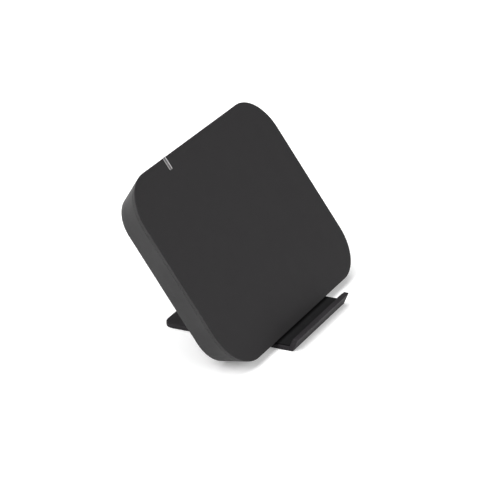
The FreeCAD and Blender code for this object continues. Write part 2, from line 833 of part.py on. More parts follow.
def make_usb_socket():
    """Power inlet in the right wall: a drawn steel shell and the contact tongue inside it."""
    up = dim("socket_up")
    base = -dim("board_top")
    half = dim("socket_width") / 2
    skin = dim("socket_skin")
    back = dim("socket_mouth") - dim("socket_length")
    shell = new_body("usb_shell", pad_frame)
    outside = new_sketch(shell, "outside", "YZ_Plane", back)
    draw_rounded(outside, up - half, base, up + half, base + dim("socket_height"), 1.2)
    pad(shell, outside, dim("socket_length"))
    inside = new_sketch(shell, "inside", "YZ_Plane", back + 0.4)
    draw_rounded(inside, up - half + skin, base + skin, up + half - skin,
                 base + dim("socket_height") - skin, 0.9)
    pocket(shell, inside, dim("socket_length"))

    middle = base + dim("socket_height") / 2
    tongue = new_body("usb_tongue", pad_frame)
    block = new_sketch(tongue, "block", "YZ_Plane", back + 0.4)
    draw_rectangle(block, up - half + 0.9, base + skin + 0.05, up + half - 0.9,
                   base + dim("socket_height") - skin - 0.05)
    pad(tongue, block, 1.6)
    blade = new_sketch(tongue, "blade", "YZ_Plane", back + 0.4)
    draw_rectangle(blade, up - 3.35, middle - 0.35, up + 3.35, middle + 0.35)
    pad(tongue, blade, dim("socket_length") - 1.0)


# Hinge ----------------------------------------------------------------------------------------------------

def make_hinge_bracket():
    """Stamped bracket screwed into the pad: a plate with two tabs that carry the hinge pin."""
    body = new_body("hinge_bracket", pad_frame)
    outer = dim("pad_depth") - dim("recess_depth")
    inner = outer - dim("bracket_thick")
    low, high = dim("bracket_low"), dim("bracket_high")
    plate = new_sketch(body, "plate", "XY_Plane", -outer)
    half = dim("bracket_width") / 2
    draw_rectangle(plate, -half, low, half, high)
    pad(body, plate, dim("bracket_thick"))

    hinge_up, hinge_deep = dim("hinge_up"), -dim("hinge_deep")
    radius = dim("tab_radius")
    tab_end = dim("pocket_end") - dim("bracket_play")
    tab = new_sketch(body, "tab", "YZ_Plane")
    draw_polygon(tab, [
        (hinge_up, hinge_deep + radius),
        (tab_end, hinge_deep + radius / 4),
        (tab_end, -outer),
        (low, -outer),
        (hinge_up - radius * 0.6, hinge_deep - radius * 0.8),
        (hinge_up - radius * 0.8, hinge_deep + radius * 0.6),
    ])
    pad(body, tab, dim("tab_outside") * 2, both_ways=True)
    knuckle = new_sketch(body, "knuckle", "YZ_Plane")
    draw_circle(knuckle, hinge_up, hinge_deep, radius)
    pad(body, knuckle, dim("tab_outside") * 2, both_ways=True)
    between = new_sketch(body, "between", "YZ_Plane")
    draw_polygon(between, [
        (hinge_up - radius - 1, -inner),
        (high + 1, -inner),
        (high + 1, hinge_deep + radius + 1),
        (hinge_up - radius - 1, hinge_deep + radius + 1),
    ])
    pocket(body, between, dim("tab_inside") * 2, both_ways=True)
    under = new_sketch(body, "under", "YZ_Plane")
    draw_rectangle(under, hinge_up - radius - 1, -outer - 1, low, hinge_deep + radius + 1)
    pocket(body, under, dim("tab_inside") * 2, both_ways=True)
    bore = new_sketch(body, "bore", "YZ_Plane")
    draw_circle(bore, hinge_up, hinge_deep, dim("pin_radius") + dim("pin_play"))
    pocket(body, bore, dim("tab_outside") * 2 + 2, both_ways=True)

    sinks = new_sketch(body, "screw_holes", "XY_Plane", -outer)
    for across, up in bracket_screw_places():
        draw_circle(sinks, across, up, BRACKET_SCREW[0][0] + 0.05)
    pocket(body, sinks, dim("bracket_thick"))


def make_hinge_pin():
    """Steel pin with a head at its left end and a groove for the clip at its right end."""
    body = new_body("hinge_pin", hinge_frame)
    half_section = new_sketch(body, "half_section", "XZ_Plane")
    radius = dim("pin_radius")
    seat = dim("ear_outside")
    groove = seat + 0.05
    groove_end = groove + 0.55
    draw_polygon(half_section, [
        (-seat - 0.9, 0),
        (-seat - 0.9, 1.5),
        (-seat - 0.65, 1.8),
        (-seat, 1.8),
        (-seat, radius),
        (groove, radius),
        (groove, 0.7),
        (groove_end, 0.7),
        (groove_end, radius),
        (groove_end + 0.5, radius),
        (groove_end + 0.7, 0.8),
        (groove_end + 0.7, 0),
    ])
    revolve(body, half_section, "H_Axis")


def make_spring_washers():
    """Two cone-shaped washers that press the ears against the bracket and give the hinge its friction."""
    members = []
    wide, narrow, thick, wall = 2.1, 1.2, 0.5, 0.45
    middle = (dim("tab_outside") + dim("ear_inside")) / 2
    for side, name in ((-1, "left"), (1, "right")):
        blank = cone(f"washer_{name}_outside", wide, narrow, thick)
        hollow = cone(f"washer_{name}_hollow", wide - wall, narrow - wall, thick)
        bore = cylinder(f"washer_{name}_bore", dim("pin_radius") + dim("pin_play"), thick)
        washer = cut(f"washer_{name}", blank, fuse(f"washer_{name}_inside", [hollow, bore]))
        turn = Rotation(Vector(0, 1, 0), 90 * side)
        washer.Placement = Placement(Vector(side * (middle.value - thick / 2), 0, 0), turn)
        members.append(washer)
    group("spring_washers", hinge_frame, members)


def make_pin_clip():
    """Open ring that snaps into the pin's groove."""
    body = new_body("pin_clip", hinge_frame)
    outside, inside, thick, half_slot = 2.0, 0.75, 0.45, 0.6
    face = new_sketch(body, "face", "YZ_Plane", dim("ear_outside") + 0.1)
    draw_circle(face, 0, 0, outside)
    draw_circle(face, 0, 0, inside)
    pad(body, face, thick)
    slot = new_sketch(body, "slot", "YZ_Plane", dim("ear_outside"))
    draw_rectangle(slot, -outside - BEYOND, -half_slot, 0, half_slot)
    pocket(body, slot, BEYOND)


# Foot -----------------------------------------------------------------------------------------------------

def make_foot_plate():
    """Cast foot: a thin plate whose front turns up into the lip, with two ears for the hinge pin."""
    body = new_body("foot_plate", foot_frame)
    bottom, top = dim("foot_gap"), dim("foot_top")
    toe, tail = -dim("toe_reach"), dim("foot_reach")
    tip = toe - dim("lip_lean")
    lean = dim("lip_lean") / (dim("lip_top") - bottom)
    thick = dim("lip_thick")
    profile = new_sketch(body, "profile", "YZ_Plane")
    draw_polygon(profile, [
        (toe, bottom),
        (tail, bottom),
        (tail, top),
        (toe - lean * (top - bottom) + thick, top),
        (tip + thick, dim("lip_top")),
        (tip, dim("lip_top")),
    ])
    pad(body, profile, dim("foot_width"), both_ways=True)

    reach = dim("ear_radius")
    ear_foot = new_sketch(body, "ear_foot", "YZ_Plane")
    draw_polygon(ear_foot, [
        (-reach - 1.2, top - 0.5),
        (reach + 1.2, top - 0.5),
        (reach, dim("hinge_height")),
        (-reach, dim("hinge_height")),
    ])
    pad(body, ear_foot, dim("ear_outside") * 2, both_ways=True)
    ear = new_sketch(body, "ear", "YZ_Plane")
    draw_circle(ear, 0, dim("hinge_height"), reach)
    pad(body, ear, dim("ear_outside") * 2, both_ways=True)
    between = new_sketch(body, "between_ears", "YZ_Plane")
    draw_rectangle(between, -reach - 2, top, reach + 2, dim("hinge_height") + reach + 1)
    pocket(body, between, dim("ear_inside") * 2, both_ways=True)
    bore = new_sketch(body, "bore", "YZ_Plane")
    draw_circle(bore, 0, dim("hinge_height"), dim("pin_radius") + 0.01)
    pocket(body, bore, dim("foot_width"), both_ways=True)

    half = DIMENSIONS["foot_width"] / 2
    tail_corners = [(-half, tail.value), (half, tail.value)]
    round_edges(body, "tail_corners", dim("foot_corner"), upright_at(tail_corners))
    round_edges(body, "rear_edges", dim("tail_round"), tail_rim(top.value, dim("ear_outside").value))
    round_edges(body, "lip_corners", dim("lip_corner"), lip_front_corners(half, tip.value))
    round_edges(body, "lip_tip", dim("lip_round"), at_height(DIMENSIONS["lip_top"]))

    sole = new_sketch(body, "sole_recess", "XY_Plane", bottom)
    wide = dim("sole_width") / 2 + 0.1
    draw_rounded(sole, -wide, dim("sole_front") - 0.1, wide, dim("sole_back") + 0.1, 2.6)
    pocket(body, sole, dim("sole_thick") - bottom)


def lip_front_corners(half, tip):
    """A test for the lip's two leaning front corners."""
    def wanted(edge):
        limits = edge.BoundBox
        at_side = limits.XLength < 0.01 and abs(abs(limits.XMin) - half) < 0.01
        return at_side and abs(limits.YMin - tip) < 0.01 and limits.ZLength > 1
    return wanted


def tail_rim(level, ear_outside):
    """A test for the foot's upper outline beside the ears and behind them."""
    def wanted(edge):
        middle = edge.CenterOfMass
        outside = abs(middle.x) > ear_outside + 1 or middle.y > DIMENSIONS["foot_reach"] - 1
        return at_height(level)(edge) and outside
    return wanted


def make_lip_liner():
    """Silicone strip in the corner of the lip, where the phone's edge stands."""
    body = new_body("lip_liner", foot_frame)
    top, bottom = dim("foot_top"), dim("foot_gap")
    lean = dim("lip_lean") / (dim("lip_top") - bottom)
    thick = dim("liner_thick")
    root = -dim("toe_reach") + dim("lip_thick")
    upper = dim("lip_top") - 0.45
    side = new_sketch(body, "side", "YZ_Plane")
    draw_polygon(side, [
        (root - lean * (top - bottom), top),
        (root + 5.2, top),
        (root + 5.2, top + thick),
        (root - lean * (top + thick - bottom) + thick, top + thick),
        (root - lean * (upper - bottom) + thick, upper),
        (root - lean * (upper - bottom), upper),
    ])
    pad(body, side, dim("foot_width") - 1.4, both_ways=True)


def make_foot_pad():
    """Anti-slip silicone sheet let into the underside of the foot."""
    body = new_body("foot_pad", foot_frame)
    face = new_sketch(body, "face", "XY_Plane")
    half = dim("sole_width") / 2
    draw_rounded(face, -half, dim("sole_front"), half, dim("sole_back"), 2.5)
    pad(body, face, dim("sole_thick"))


# Whole stand ----------------------------------------------------------------------------------------------

def check_objects():
    """Stop if any feature failed or any node is not a valid shape."""
    for item in doc.Objects:
        for word in ("Invalid", "Error"):
            if word in item.State:
                raise RuntimeError(f"{item.Label}: {item.State}")
    for node in nodes:
        if node.Shape.isNull() or not node.Shape.isValid() or not node.Shape.Solids:
            raise RuntimeError(f"{node.Label}: bad shape")


def export_nodes():
    """Write one STEP file for each node."""
    os.makedirs("parts", exist_ok=True)
    for node in nodes:
        node.Shape.exportStep(f"parts/{node.Label}.step")


doc = FreeCAD.newDocument("phone_stand")
nodes = []
make_sheet()

foot_frame = Placement(Vector(0, DIMENSIONS["hinge_y"], 0), Rotation())
hinge_frame = Placement(Vector(0, DIMENSIONS["hinge_y"], DIMENSIONS["hinge_height"]), Rotation())
leaning = Placement(Vector(), Rotation(Vector(1, 0, 0), DIMENSIONS["tilt"]))
from_hinge = Placement(Vector(0, -DIMENSIONS["hinge_up"], DIMENSIONS["hinge_deep"]), Rotation())
pad_frame = hinge_frame.multiply(leaning).multiply(from_hinge)

make_face_panel()
make_rear_housing()
make_light_pipe()
make_back_feet()
make_housing_screws()
make_shield_screws()
make_board_screws()
make_bracket_screws()
make_coil_stack()
make_coil_leads()
make_circuit_board()
make_board_parts()
make_usb_socket()
make_hinge_bracket()
make_hinge_pin()
make_spring_washers()
make_pin_clip()
make_foot_plate()
make_lip_liner()
make_foot_pad()

doc.recompute()
check_objects()
export_nodes()
for node in nodes:
    box_limits = node.Shape.BoundBox
    print(f"{node.Label}: {len(node.Shape.Solids)} solid(s), {node.Shape.Volume:.1f} mm3, "
          f"z {box_limits.ZMin:.2f} to {box_limits.ZMax:.2f}")
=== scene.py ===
"""Looks of the folding charging stand: finishes, detailed pieces, floor, lights and camera."""

import json
import math

import bmesh
import bpy
from mathutils import Euler, Matrix, Vector


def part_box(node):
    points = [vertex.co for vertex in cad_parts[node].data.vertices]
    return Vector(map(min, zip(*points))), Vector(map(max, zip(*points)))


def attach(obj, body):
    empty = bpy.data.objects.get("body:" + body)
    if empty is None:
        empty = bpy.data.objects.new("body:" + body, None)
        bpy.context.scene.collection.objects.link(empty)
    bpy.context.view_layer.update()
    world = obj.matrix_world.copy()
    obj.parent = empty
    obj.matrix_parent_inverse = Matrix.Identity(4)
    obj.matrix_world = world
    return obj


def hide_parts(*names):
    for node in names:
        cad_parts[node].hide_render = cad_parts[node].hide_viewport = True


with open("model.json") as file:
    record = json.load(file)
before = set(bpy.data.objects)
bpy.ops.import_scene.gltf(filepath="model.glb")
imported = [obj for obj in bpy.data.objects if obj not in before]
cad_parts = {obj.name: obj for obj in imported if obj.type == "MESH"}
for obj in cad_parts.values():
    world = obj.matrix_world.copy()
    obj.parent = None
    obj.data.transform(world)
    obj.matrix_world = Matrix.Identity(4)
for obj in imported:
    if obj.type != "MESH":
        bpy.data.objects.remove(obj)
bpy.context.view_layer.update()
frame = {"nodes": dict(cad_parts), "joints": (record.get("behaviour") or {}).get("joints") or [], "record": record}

MM = 0.001

# The pad's slope, from level. The pad's frame has x to the right, y up the slope and z out of its front.
TILT = math.radians(55)
HINGE = Vector(frame["joints"][0]["pos_m"])
PAD_FRAME = Matrix.Translation(HINGE) @ Matrix.Rotation(TILT, 4, "X")
# From the pad's frame to the coordinates of a finish that follows the pad.
TO_FINISH = Matrix.Rotation(-TILT, 4, "X") @ PAD_FRAME

SHARP_ANGLE = math.radians(35)

SLOT_OF = {part["node"]: part["material_slot"] for part in frame["record"]["subparts"]}


def pad_box(node):
    """Lowest and highest corner of a CAD node in the pad's frame."""
    inverse = PAD_FRAME.inverted()
    points = [inverse @ vertex.co for vertex in frame["nodes"][node].data.vertices]
    return [Vector(pick(point[axis] for point in points) for axis in range(3)) for pick in (min, max)]


# Materials ----------------------------------------------------------------------------------------

class Finish:
    """One procedural material. A method adds nodes and returns the socket with their result."""

    def __init__(self, name, along_pad=False, **constants):
        self.material = bpy.data.materials.new(name)
        self.material.use_nodes = True
        self.tree = self.material.node_tree
        self.shader = self.tree.nodes["Principled BSDF"]
        for socket, value in constants.items():
            self.shader.inputs[socket.replace("_", " ")].default_value = value
        self.place = self.add("ShaderNodeTexCoord").outputs["Object"]
        if along_pad:
            turn = self.add("ShaderNodeMapping", Vector=self.place)
            turn.inputs["Rotation"].default_value = (-TILT, 0, 0)
            self.place = turn.outputs["Vector"]

    def add(self, kind, **inputs):
        """Add a node; an input is linked when it is a socket and set when it is a value."""
        node = self.tree.nodes.new(kind)
        for name, value in inputs.items():
            self.feed(node.inputs[name.replace("_", " ")], value)
        return node

    def feed(self, socket, value):
        if isinstance(value, bpy.types.NodeSocket):
            self.tree.links.new(value, socket)
        else:
            socket.default_value = value

    def stretched(self, scale):
        """The coordinates, multiplied by a factor for each axis."""
        node = self.add("ShaderNodeMapping", Vector=self.place)
        node.inputs["Scale"].default_value = scale
        return node.outputs["Vector"]

    def noise(self, grain, detail=3.0, rough=0.55, place=None):
        """Noise whose blotches are about grain metres across."""
        node = self.add("ShaderNodeTexNoise", Vector=place or self.place, Scale=1 / grain, Detail=detail,
                        Roughness=rough)
        return node.outputs["Fac"]

    def cells(self, grain):
        """Distance from the middle of irregular cells about grain metres across."""
        node = self.add("ShaderNodeTexVoronoi", Vector=self.place, Scale=1 / grain)
        return node.outputs["Distance"]

    def ramp(self, value, low, high, out_low=0.0, out_high=1.0):
        """Stretch value from low..high to out_low..out_high, and clamp it."""
        node = self.add("ShaderNodeMapRange", Value=value, From_Min=low, From_Max=high, To_Min=out_low,
                        To_Max=out_high)
        return node.outputs["Result"]

    def math(self, operation, first, second):
        node = self.add("ShaderNodeMath")
        node.operation = operation
        self.feed(node.inputs[0], first)
        self.feed(node.inputs[1], second)
        return node.outputs["Value"]

    def mix(self, share, first, second):
        """Blend two colours."""
        node = self.add("ShaderNodeMix")
        node.data_type = "RGBA"
        self.feed(node.inputs["Factor"], share)
        self.feed(node.inputs["A"], (*first, 1) if isinstance(first, tuple) else first)
        self.feed(node.inputs["B"], (*second, 1) if isinstance(second, tuple) else second)
        return node.outputs["Result"]

    def softened(self, radius):
        """The surface normal with its sharp edges rounded off."""
        return self.add("ShaderNodeBevel", Radius=radius).outputs["Normal"]

    def edges(self, radius):
        """One along sharp edges, falling to nothing on flat faces."""
        gain = 6.0
        turned = self.add("ShaderNodeVectorMath")
        turned.operation = "DOT_PRODUCT"
        self.feed(turned.inputs[0], self.softened(radius))
        self.feed(turned.inputs[1], self.add("ShaderNodeNewGeometry").outputs["True Normal"])
        return self.ramp(turned.outputs["Value"], 1.0, 1.0 - 1.0 / gain)

    def bump(self, height, depth, strength, edge=0.0, normal=None):
        """Bump the surface by depth metres, over edges rounded by edge metres."""
        node = self.add("ShaderNodeBump", Height=height, Distance=depth, Strength=strength)
        if edge:
            self.feed(node.inputs["Normal"], self.softened(edge))
        if normal is not None:
            self.feed(node.inputs["Normal"], normal)
        return node.outputs["Normal"]

    def wear(self, **sockets):
        """Link the results to the shader."""
        for name, value in sockets.items():
            self.feed(self.shader.inputs[name.replace("_", " ")], value)
        return self.material


# How far behind the front face the painted shade is full, and where it ends.
SHADE_FULL, SHADE_ENDS = 0.14 * MM, 0.22 * MM


def soft_plastic(name, dark, light, grain, depth, roughness, edge_light, front_shade=None):
    """Moulded charcoal plastic: a fine sparked texture, faint smudges and paler edges.

    The last argument is a pair of darker colours painted over the pad's front face only: painted shade that makes
    the front face darker than the sides of the same plastic.
    """
    made = Finish(name, along_pad=True, Specular_IOR_Level=0.235)
    speck = made.ramp(made.noise(grain, 4.0, 0.6), 0.3, 0.7)
    smudge = made.ramp(made.noise(16 * MM, 3.0), 0.35, 0.7)
    blotch = made.ramp(made.noise(42 * MM, 2.0), 0.3, 0.7)
    colour = made.mix(speck, dark, light)
    # Painted shade: the pad's front face is drawn darker than the sides of the same plastic.
    if front_shade:
        front = (TO_FINISH @ pad_box("face_panel")[1]).z
        height = made.add("ShaderNodeSeparateXYZ", Vector=made.place).outputs["Z"]
        shaded_front = made.ramp(height, front - SHADE_ENDS, front - SHADE_FULL)
        colour = made.mix(shaded_front, colour, made.mix(speck, *front_shade))
    colour = made.mix(made.math("MULTIPLY", blotch, 0.12), colour, light)
    rubbed = made.math("MULTIPLY", made.edges(0.2 * MM), made.ramp(made.noise(3 * MM), 0.3, 0.62))
    colour = made.mix(made.math("MULTIPLY", rubbed, 0.7), colour, edge_light)
    rough = made.ramp(smudge, 0, 1, roughness[0], roughness[1])
    rough = made.math("SUBTRACT", rough, made.math("MULTIPLY", rubbed, 0.08))
    normal = made.bump(made.cells(grain * 1.3), depth, 0.55, edge=0.1 * MM)
    normal = made.bump(made.noise(grain * 0.5, 3.0, 0.7), depth, 0.4, normal=normal)
    return made.wear(Base_Color=colour, Roughness=rough, Normal=normal)


def frosted_window(name):
    """Frosted clear plastic, dull in its middle, with a painted highlight along its rim for the light it gathers
    there.
    """
    low, high = pad_box("light_pipe")
    made = Finish(name, IOR=1.46, Specular_IOR_Level=0.5, Transmission_Weight=0.12, along_pad=True)
    start, end = TO_FINISH @ low, TO_FINISH @ high
    place = made.add("ShaderNodeSeparateXYZ", Vector=made.place).outputs
    # Painted highlight: the rim's lower end and both sides are drawn pale, the right side twice as bright as the
    # left.
    painted_rim_highlight = made.ramp(place["Y"], start.y + 1.0 * MM, start.y + 0.3 * MM)
    for side, wall, gain in ((-1, start.x, 0.45), (1, end.x, 0.9)):
        inner, outer = wall - side * 0.55 * MM, wall - side * 0.12 * MM
        painted_rim_highlight = made.math("MAXIMUM", painted_rim_highlight, made.ramp(place["X"], inner, outer, 0, gain))
    cloud = made.ramp(made.noise(0.8 * MM, 3.0), 0.3, 0.7)
    core = made.mix(cloud, (0.075, 0.073, 0.075), (0.13, 0.127, 0.13))
    # The painted highlight's pale colour over the dull core.
    colour = made.mix(painted_rim_highlight, core, (0.80, 0.79, 0.80))
    normal = made.bump(made.noise(0.12 * MM, 3.0), 0.01 * MM, 0.6, edge=0.1 * MM)
    return made.wear(Base_Color=colour, Roughness=made.ramp(cloud, 0, 1, 0.28, 0.42), Normal=normal)


def silicone(name):
    """Black silicone rubber: matte, slightly dusty, with a fine moulded skin."""
    made = Finish(name, Specular_IOR_Level=0.10, Sheen_Weight=0.02, Sheen_Roughness=0.5)
    dust = made.ramp(made.noise(0.35 * MM, 4.0, 0.7), 0.62, 0.8)
    patch = made.ramp(made.noise(7 * MM, 3.0), 0.35, 0.7)
    colour = made.mix(patch, (0.0050, 0.0050, 0.0054), (0.0085, 0.0085, 0.0090))
    colour = made.mix(made.math("MULTIPLY", dust, 0.25), colour, (0.045, 0.045, 0.044))
    normal = made.bump(made.noise(0.16 * MM, 4.0, 0.6), 0.02 * MM, 0.7, edge=0.18 * MM)
    return made.wear(Base_Color=colour, Roughness=made.ramp(patch, 0, 1, 0.72, 0.9), Normal=normal)


def plain_steel(name, dark, light, grain, roughness):
    """Plated or drawn steel with fine turning lines and small stains."""
    made = Finish(name, Metallic=1.0)
    lines = made.noise(grain, 3.0, 0.6, made.stretched((0.12, 1.0, 1.0)))
    stain = made.ramp(made.noise(2.2 * MM, 4.0), 0.4, 0.75)
    colour = made.mix(made.ramp(lines, 0.3, 0.7), dark, light)
    colour = made.mix(made.math("MULTIPLY", stain, 0.3), colour, (0.33, 0.31, 0.27))
    rough = made.math("ADD", made.ramp(lines, 0.3, 0.7, *roughness), made.math("MULTIPLY", stain, 0.12))
    return made.wear(Base_Color=colour, Roughness=rough,
                     Normal=made.bump(lines, 0.006 * MM, 0.5, edge=0.1 * MM))


def coated_metal(name, dark, light, bare, pebble, roughness, metallic, shine):
    """Painted or blackened metal: an orange-peel coat, rubbed pale along its edges."""
    made = Finish(name, Metallic=metallic, Specular_IOR_Level=shine)
    peel = made.noise(pebble, 2.0, 0.5)
    patch = made.ramp(made.noise(9 * MM, 3.0), 0.35, 0.68)
    worn = made.ramp(made.noise(1.4 * MM, 4.0), 0.45, 0.62)
    rubbed = made.math("MULTIPLY", made.edges(0.3 * MM), worn)
    colour = made.mix(patch, dark, light)
    colour = made.mix(made.math("MULTIPLY", rubbed, 0.55), colour, bare)
    rough = made.ramp(peel, 0.3, 0.7, *roughness)
    normal = made.bump(peel, 0.02 * MM, 0.5, edge=0.2 * MM)
    normal = made.bump(made.noise(0.08 * MM, 3.0), 0.006 * MM, 0.5, normal=normal)
    return made.wear(Base_Color=colour, Roughness=rough, Normal=normal)


def foam(name):
    """White foam tape with open cells, each painted darker towards its middle as shade in the dip."""
    made = Finish(name, Roughness=0.95, Specular_IOR_Level=0.2)
    cell_depth_and_shade = made.cells(0.28 * MM)
    # Painted shade: each cell is drawn darker towards its middle, where the bump sinks.
    colour = made.mix(made.ramp(cell_depth_and_shade, 0.1, 0.6), (0.22, 0.22, 0.21), (0.46, 0.46, 0.44))
    return made.wear(Base_Color=colour, Normal=made.bump(cell_depth_and_shade, 0.1 * MM, 0.8))


def enamelled_copper(name):
    """Copper wire under clear red-brown enamel."""
    made = Finish(name, Metallic=1.0, Coat_Weight=0.6, Coat_Roughness=0.15, along_pad=True)
    strand = made.noise(0.14 * MM, 2.0, 0.5)
    tint = made.ramp(made.noise(3 * MM, 2.0), 0.35, 0.65)
    colour = made.mix(tint, (0.50, 0.19, 0.075), (0.68, 0.29, 0.12))
    colour = made.mix(made.ramp(strand, 0.55, 0.7, 0, 0.5), colour, (0.30, 0.10, 0.04))
    return made.wear(Base_Color=colour, Roughness=made.ramp(strand, 0.3, 0.7, 0.24, 0.4),
                     Normal=made.bump(strand, 0.03 * MM, 0.6))


def sintered(name):
    """Ferrite: a dull grey-black ceramic with tiny pits, painted dark inside as shade."""
    made = Finish(name, Specular_IOR_Level=0.35)
    pit_depth_and_shade = made.ramp(made.cells(0.4 * MM), 0.0, 0.16)
    tone = made.ramp(made.noise(0.5 * MM, 4.0, 0.7), 0.3, 0.7)
    colour = made.mix(tone, (0.030, 0.030, 0.032), (0.058, 0.058, 0.061))
    # The pits are real dips in the bump; their near-black colour is painted shade.
    return made.wear(Base_Color=made.mix(pit_depth_and_shade, (0.012, 0.012, 0.012), colour),
                     Roughness=made.ramp(tone, 0, 1, 0.6, 0.8),
                     Normal=made.bump(pit_depth_and_shade, 0.02 * MM, 0.5, edge=0.1 * MM))


def rolled_aluminium(name):
    """Aluminium sheet with rolling lines down its length."""
    made = Finish(name, Metallic=1.0, along_pad=True)
    lines = made.noise(0.12 * MM, 4.0, 0.7, made.stretched((1.0, 0.03, 1.0)))
    haze = made.ramp(made.noise(8 * MM, 3.0), 0.35, 0.7)
    colour = made.mix(made.ramp(lines, 0.3, 0.7), (0.52, 0.52, 0.53), (0.70, 0.70, 0.71))
    rough = made.math("ADD", made.ramp(lines, 0.3, 0.7, 0.24, 0.36), made.math("MULTIPLY", haze, 0.12))
    return made.wear(Base_Color=colour, Roughness=rough,
                     Normal=made.bump(lines, 0.004 * MM, 0.5, edge=0.08 * MM))


def circuit_laminate(name):
    """Green solder mask over copper tracks, with bare round pads."""
    made = Finish(name, Specular_IOR_Level=0.5, Coat_Weight=0.35, Coat_Roughness=0.2, along_pad=True)
    across = made.add("ShaderNodeSeparateXYZ", Vector=made.place).outputs["Y"]
    jog = made.ramp(made.noise(7 * MM, 0.0), 0.46, 0.54, 0, 2.5 * MM)
    lane = made.math("PINGPONG", made.math("ADD", across, jog), 0.36 * MM)
    routed = made.ramp(made.noise(4.5 * MM, 0.0), 0.47, 0.48)
    tracks = made.math("MULTIPLY", made.ramp(lane, 0.17 * MM, 0.13 * MM), routed)
    pads = made.ramp(made.cells(2.1 * MM), 0.13, 0.11)
    fibre = made.noise(0.3 * MM, 3.0, 0.6, made.stretched((1.0, 0.15, 1.0)))
    colour = made.mix(made.ramp(fibre, 0.3, 0.7), (0.008, 0.055, 0.030), (0.012, 0.078, 0.042))
    colour = made.mix(tracks, colour, (0.019, 0.115, 0.060))
    colour = made.mix(pads, colour, (0.62, 0.56, 0.42))
    height = made.math("MAXIMUM", tracks, pads)
    return made.wear(Base_Color=colour, Metallic=pads, Roughness=made.ramp(fibre, 0.3, 0.7, 0.3, 0.42),
                     Normal=made.bump(height, 0.035 * MM, 0.6))


def moulded_epoxy(name):
    """Black chip epoxy with a fine matte grain."""
    made = Finish(name, Specular_IOR_Level=0.45)
    grain = made.noise(0.07 * MM, 3.0, 0.6)
    colour = made.mix(made.ramp(grain, 0.3, 0.7), (0.014, 0.014, 0.015), (0.026, 0.026, 0.027))
    return made.wear(Base_Color=colour, Roughness=made.ramp(grain, 0.3, 0.7, 0.42, 0.6),
                     Normal=made.bump(grain, 0.01 * MM, 0.6, edge=0.1 * MM))


def fired_ceramic(name):
    """Tan capacitor ceramic."""
    made = Finish(name, Specular_IOR_Level=0.4)
    grain = made.noise(0.2 * MM, 4.0, 0.6)
    colour = made.mix(made.ramp(grain, 0.3, 0.7), (0.34, 0.24, 0.15), (0.48, 0.36, 0.24))
    return made.wear(Base_Color=colour, Roughness=made.ramp(grain, 0.3, 0.7, 0.4, 0.6),
                     Normal=made.bump(grain, 0.01 * MM, 0.5, edge=0.12 * MM))


# Body plastic: its darkest and lightest grain, and the same for the painted shade on the pad's front face.
CHARCOAL = ((0.0132, 0.0126, 0.0132), (0.0187, 0.0179, 0.0187))
FRONT_PAINTED_SHADE = ((0.0106, 0.0097, 0.0106), (0.0153, 0.0141, 0.0152))

FINISHES = {
    "panel_plastic": soft_plastic("panel_plastic", *CHARCOAL, 0.17 * MM, 0.018 * MM, (0.52, 0.58),
                                  (0.075, 0.073, 0.075), FRONT_PAINTED_SHADE),
    "housing_plastic": soft_plastic("housing_plastic", *CHARCOAL, 0.26 * MM, 0.030 * MM, (0.46, 0.56),
                                    (0.095, 0.093, 0.095)),
    "light_window": frosted_window("light_window"),
    "black_rubber": silicone("black_rubber"),
    "zinc_steel": plain_steel("zinc_steel", (0.46, 0.46, 0.47), (0.62, 0.62, 0.63), 0.09 * MM,
                              (0.24, 0.38)),
    "black_steel": coated_metal("black_steel", (0.018, 0.018, 0.019), (0.032, 0.032, 0.033),
                                (0.30, 0.29, 0.28), 0.30 * MM, (0.36, 0.48), 0.35, 0.5),
    "foam_tape": foam("foam_tape"),
    "copper_wire": enamelled_copper("copper_wire"),
    "ferrite": sintered("ferrite"),
    "shield_aluminium": rolled_aluminium("shield_aluminium"),
    "board_laminate": circuit_laminate("board_laminate"),
    "chip_black": moulded_epoxy("chip_black"),
    "ceramic": fired_ceramic("ceramic"),
    "socket_steel": plain_steel("socket_steel", (0.55, 0.55, 0.55), (0.70, 0.70, 0.70), 0.05 * MM,
                                (0.16, 0.28)),
    "foot_paint": coated_metal("foot_paint", (0.0148, 0.0131, 0.0149), (0.0196, 0.0176, 0.0199),
                               (0.036, 0.033, 0.036), 0.24 * MM, (0.54, 0.66), 0.0, 0.15),
}


def dress(thing, slot):
    """Give an object the finish of its slot."""
    if not thing.material_slots:
        thing.data.materials.append(None)
    for holder in thing.material_slots:
        holder.material = FINISHES[slot]


for node, thing in frame["nodes"].items():
    dress(thing, SLOT_OF[node])


# Detailed pieces ----------------------------------------------------------------------------------

def pad_rows(node, axis):
    """The boxes of a node's separate blocks, which stand in one row along an axis of the pad's frame."""
    inverse = PAD_FRAME.inverted()
    low, high = pad_box(node)
    vertices = frame["nodes"][node].data.vertices
    marks = sorted({round((inverse @ vertex.co)[axis], 5) for vertex in vertices})
    boxes = []
    for start, end in zip(marks[::2], marks[1::2]):
        near, far = low.copy(), high.copy()
        near[axis], far[axis] = start, end
        boxes.append((near, far))
    return boxes


def make_piece(name, points, faces, body, slot, place=Matrix.Identity(4)):
    """A mesh from points and faces that rides on a body and wears a slot's finish."""
    mesh = bpy.data.meshes.new(name)
    mesh.from_pydata([place @ Vector(point) for point in points], [], faces)
    return finish_piece(name, mesh, body, slot)


def finish_piece(name, mesh, body, slot):
    """Shade a mesh smooth, put it in the scene, and give it its body and its finish."""
    mesh.shade_smooth()
    mesh.set_sharp_from_angle(angle=SHARP_ANGLE)
    piece = bpy.data.objects.new(name, mesh)
    bpy.context.scene.collection.objects.link(piece)
    dress(piece, slot)
    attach(piece, body)
    return piece


def on_circle(step, steps):
    """Cosine and sine of one of the even steps round a circle."""
    angle = 2 * math.pi * step / steps
    return math.cos(angle), math.sin(angle)


def flipped(faces):
    """The faces turned to look the other way."""
    return [tuple(reversed(face)) for face in faces]


